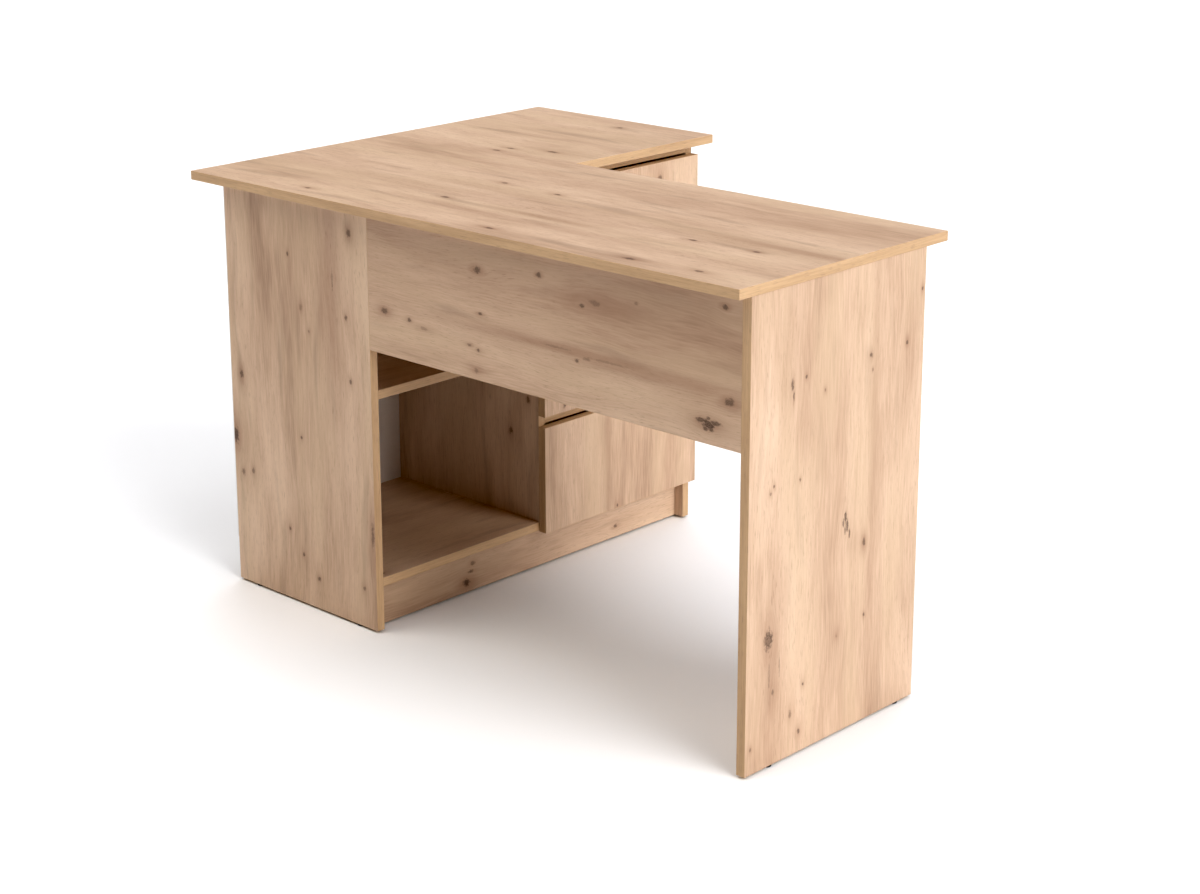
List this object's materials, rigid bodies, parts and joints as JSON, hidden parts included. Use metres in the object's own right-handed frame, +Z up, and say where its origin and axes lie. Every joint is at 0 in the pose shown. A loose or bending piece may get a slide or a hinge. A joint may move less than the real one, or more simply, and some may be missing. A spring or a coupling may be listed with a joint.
{
  "type": "corner desk",
  "caption": "L-shaped corner desk in light knotty oak board, with a niche and drawer cabinet under the return arm, a modesty panel and an end panel.",
  "frame": {"origin": "on the floor, under the middle of the desk's bounding box", "axes": "+X towards the cabinet end, +Y towards the long outer side with the modesty panel, +Z up; the user sits on the -Y side"},
  "size_m": [1.24, 0.865, 0.755],
  "materials": {
    "oak_board": "light knotty oak decor, matt melamine face with a fine pore texture",
    "hardboard_white": "white lacquered hardboard",
    "zinc": "die-cast zinc, dull",
    "steel": "zinc-plated steel",
    "beech": "plain fluted beech",
    "black_plastic": "matt black",
    "white_plastic": "matt off-white",
    "runner_white": "white epoxy coating, satin"
  },
  "bodies": {
    "desk": {"desktop": "oak_board", "cabinet_left_side": "oak_board", "cabinet_divider": "oak_board", "cabinet_right_side": "oak_board", "cabinet_bottom_board": "oak_board", "cabinet_plinth": "oak_board", "niche_shelf": "oak_board", "drawer_rail_lower": "oak_board", "drawer_rail_upper": "oak_board", "drawer_rail_top": "oak_board", "modesty_panel": "oak_board", "end_panel": "oak_board", "cabinet_back_panel": "hardboard_white", "cam_locks": "zinc", "cam_bolts": "steel", "dowels": "beech", "floor_glides": "black_plastic", "back_panel_nails": "steel", "cabinet_runners_bottom": "runner_white", "cabinet_runners_middle": "runner_white", "cabinet_runners_top": "runner_white", "cabinet_runner_rollers": "white_plastic", "cabinet_runner_screws": "steel"},
    "drawer_bottom": {"drawer_bottom_front": "oak_board", "drawer_bottom_left_side": "oak_board", "drawer_bottom_right_side": "oak_board", "drawer_bottom_back": "oak_board", "drawer_bottom_bottom_panel": "hardboard_white", "drawer_bottom_cam_locks": "zinc", "drawer_bottom_cam_bolts": "steel", "drawer_bottom_back_screws": "steel", "drawer_bottom_runners": "runner_white", "drawer_bottom_rollers": "white_plastic", "drawer_bottom_runner_screws": "steel"},
    "drawer_middle": {"drawer_middle_front": "oak_board", "drawer_middle_left_side": "oak_board", "drawer_middle_right_side": "oak_board", "drawer_middle_back": "oak_board", "drawer_middle_bottom_panel": "hardboard_white", "drawer_middle_cam_locks": "zinc", "drawer_middle_cam_bolts": "steel", "drawer_middle_back_screws": "steel", "drawer_middle_runners": "runner_white", "drawer_middle_rollers": "white_plastic", "drawer_middle_runner_screws": "steel"},
    "drawer_top": {"drawer_top_front": "oak_board", "drawer_top_left_side": "oak_board", "drawer_top_right_side": "oak_board", "drawer_top_back": "oak_board", "drawer_top_bottom_panel": "hardboard_white", "drawer_top_cam_locks": "zinc", "drawer_top_cam_bolts": "steel", "drawer_top_back_screws": "steel", "drawer_top_runners": "runner_white", "drawer_top_rollers": "white_plastic", "drawer_top_runner_screws": "steel"}
  },
  "joints": [
    {"name": "drawer_bottom_slide", "type": "slide", "parent": "desk", "child": "drawer_bottom", "axis": [-1, 0, 0], "range_m": [0, 0.25]},
    {"name": "drawer_middle_slide", "type": "slide", "parent": "desk", "child": "drawer_middle", "axis": [-1, 0, 0], "range_m": [0, 0.25]},
    {"name": "drawer_top_slide", "type": "slide", "parent": "desk", "child": "drawer_top", "axis": [-1, 0, 0], "range_m": [0, 0.25]}
  ]
}
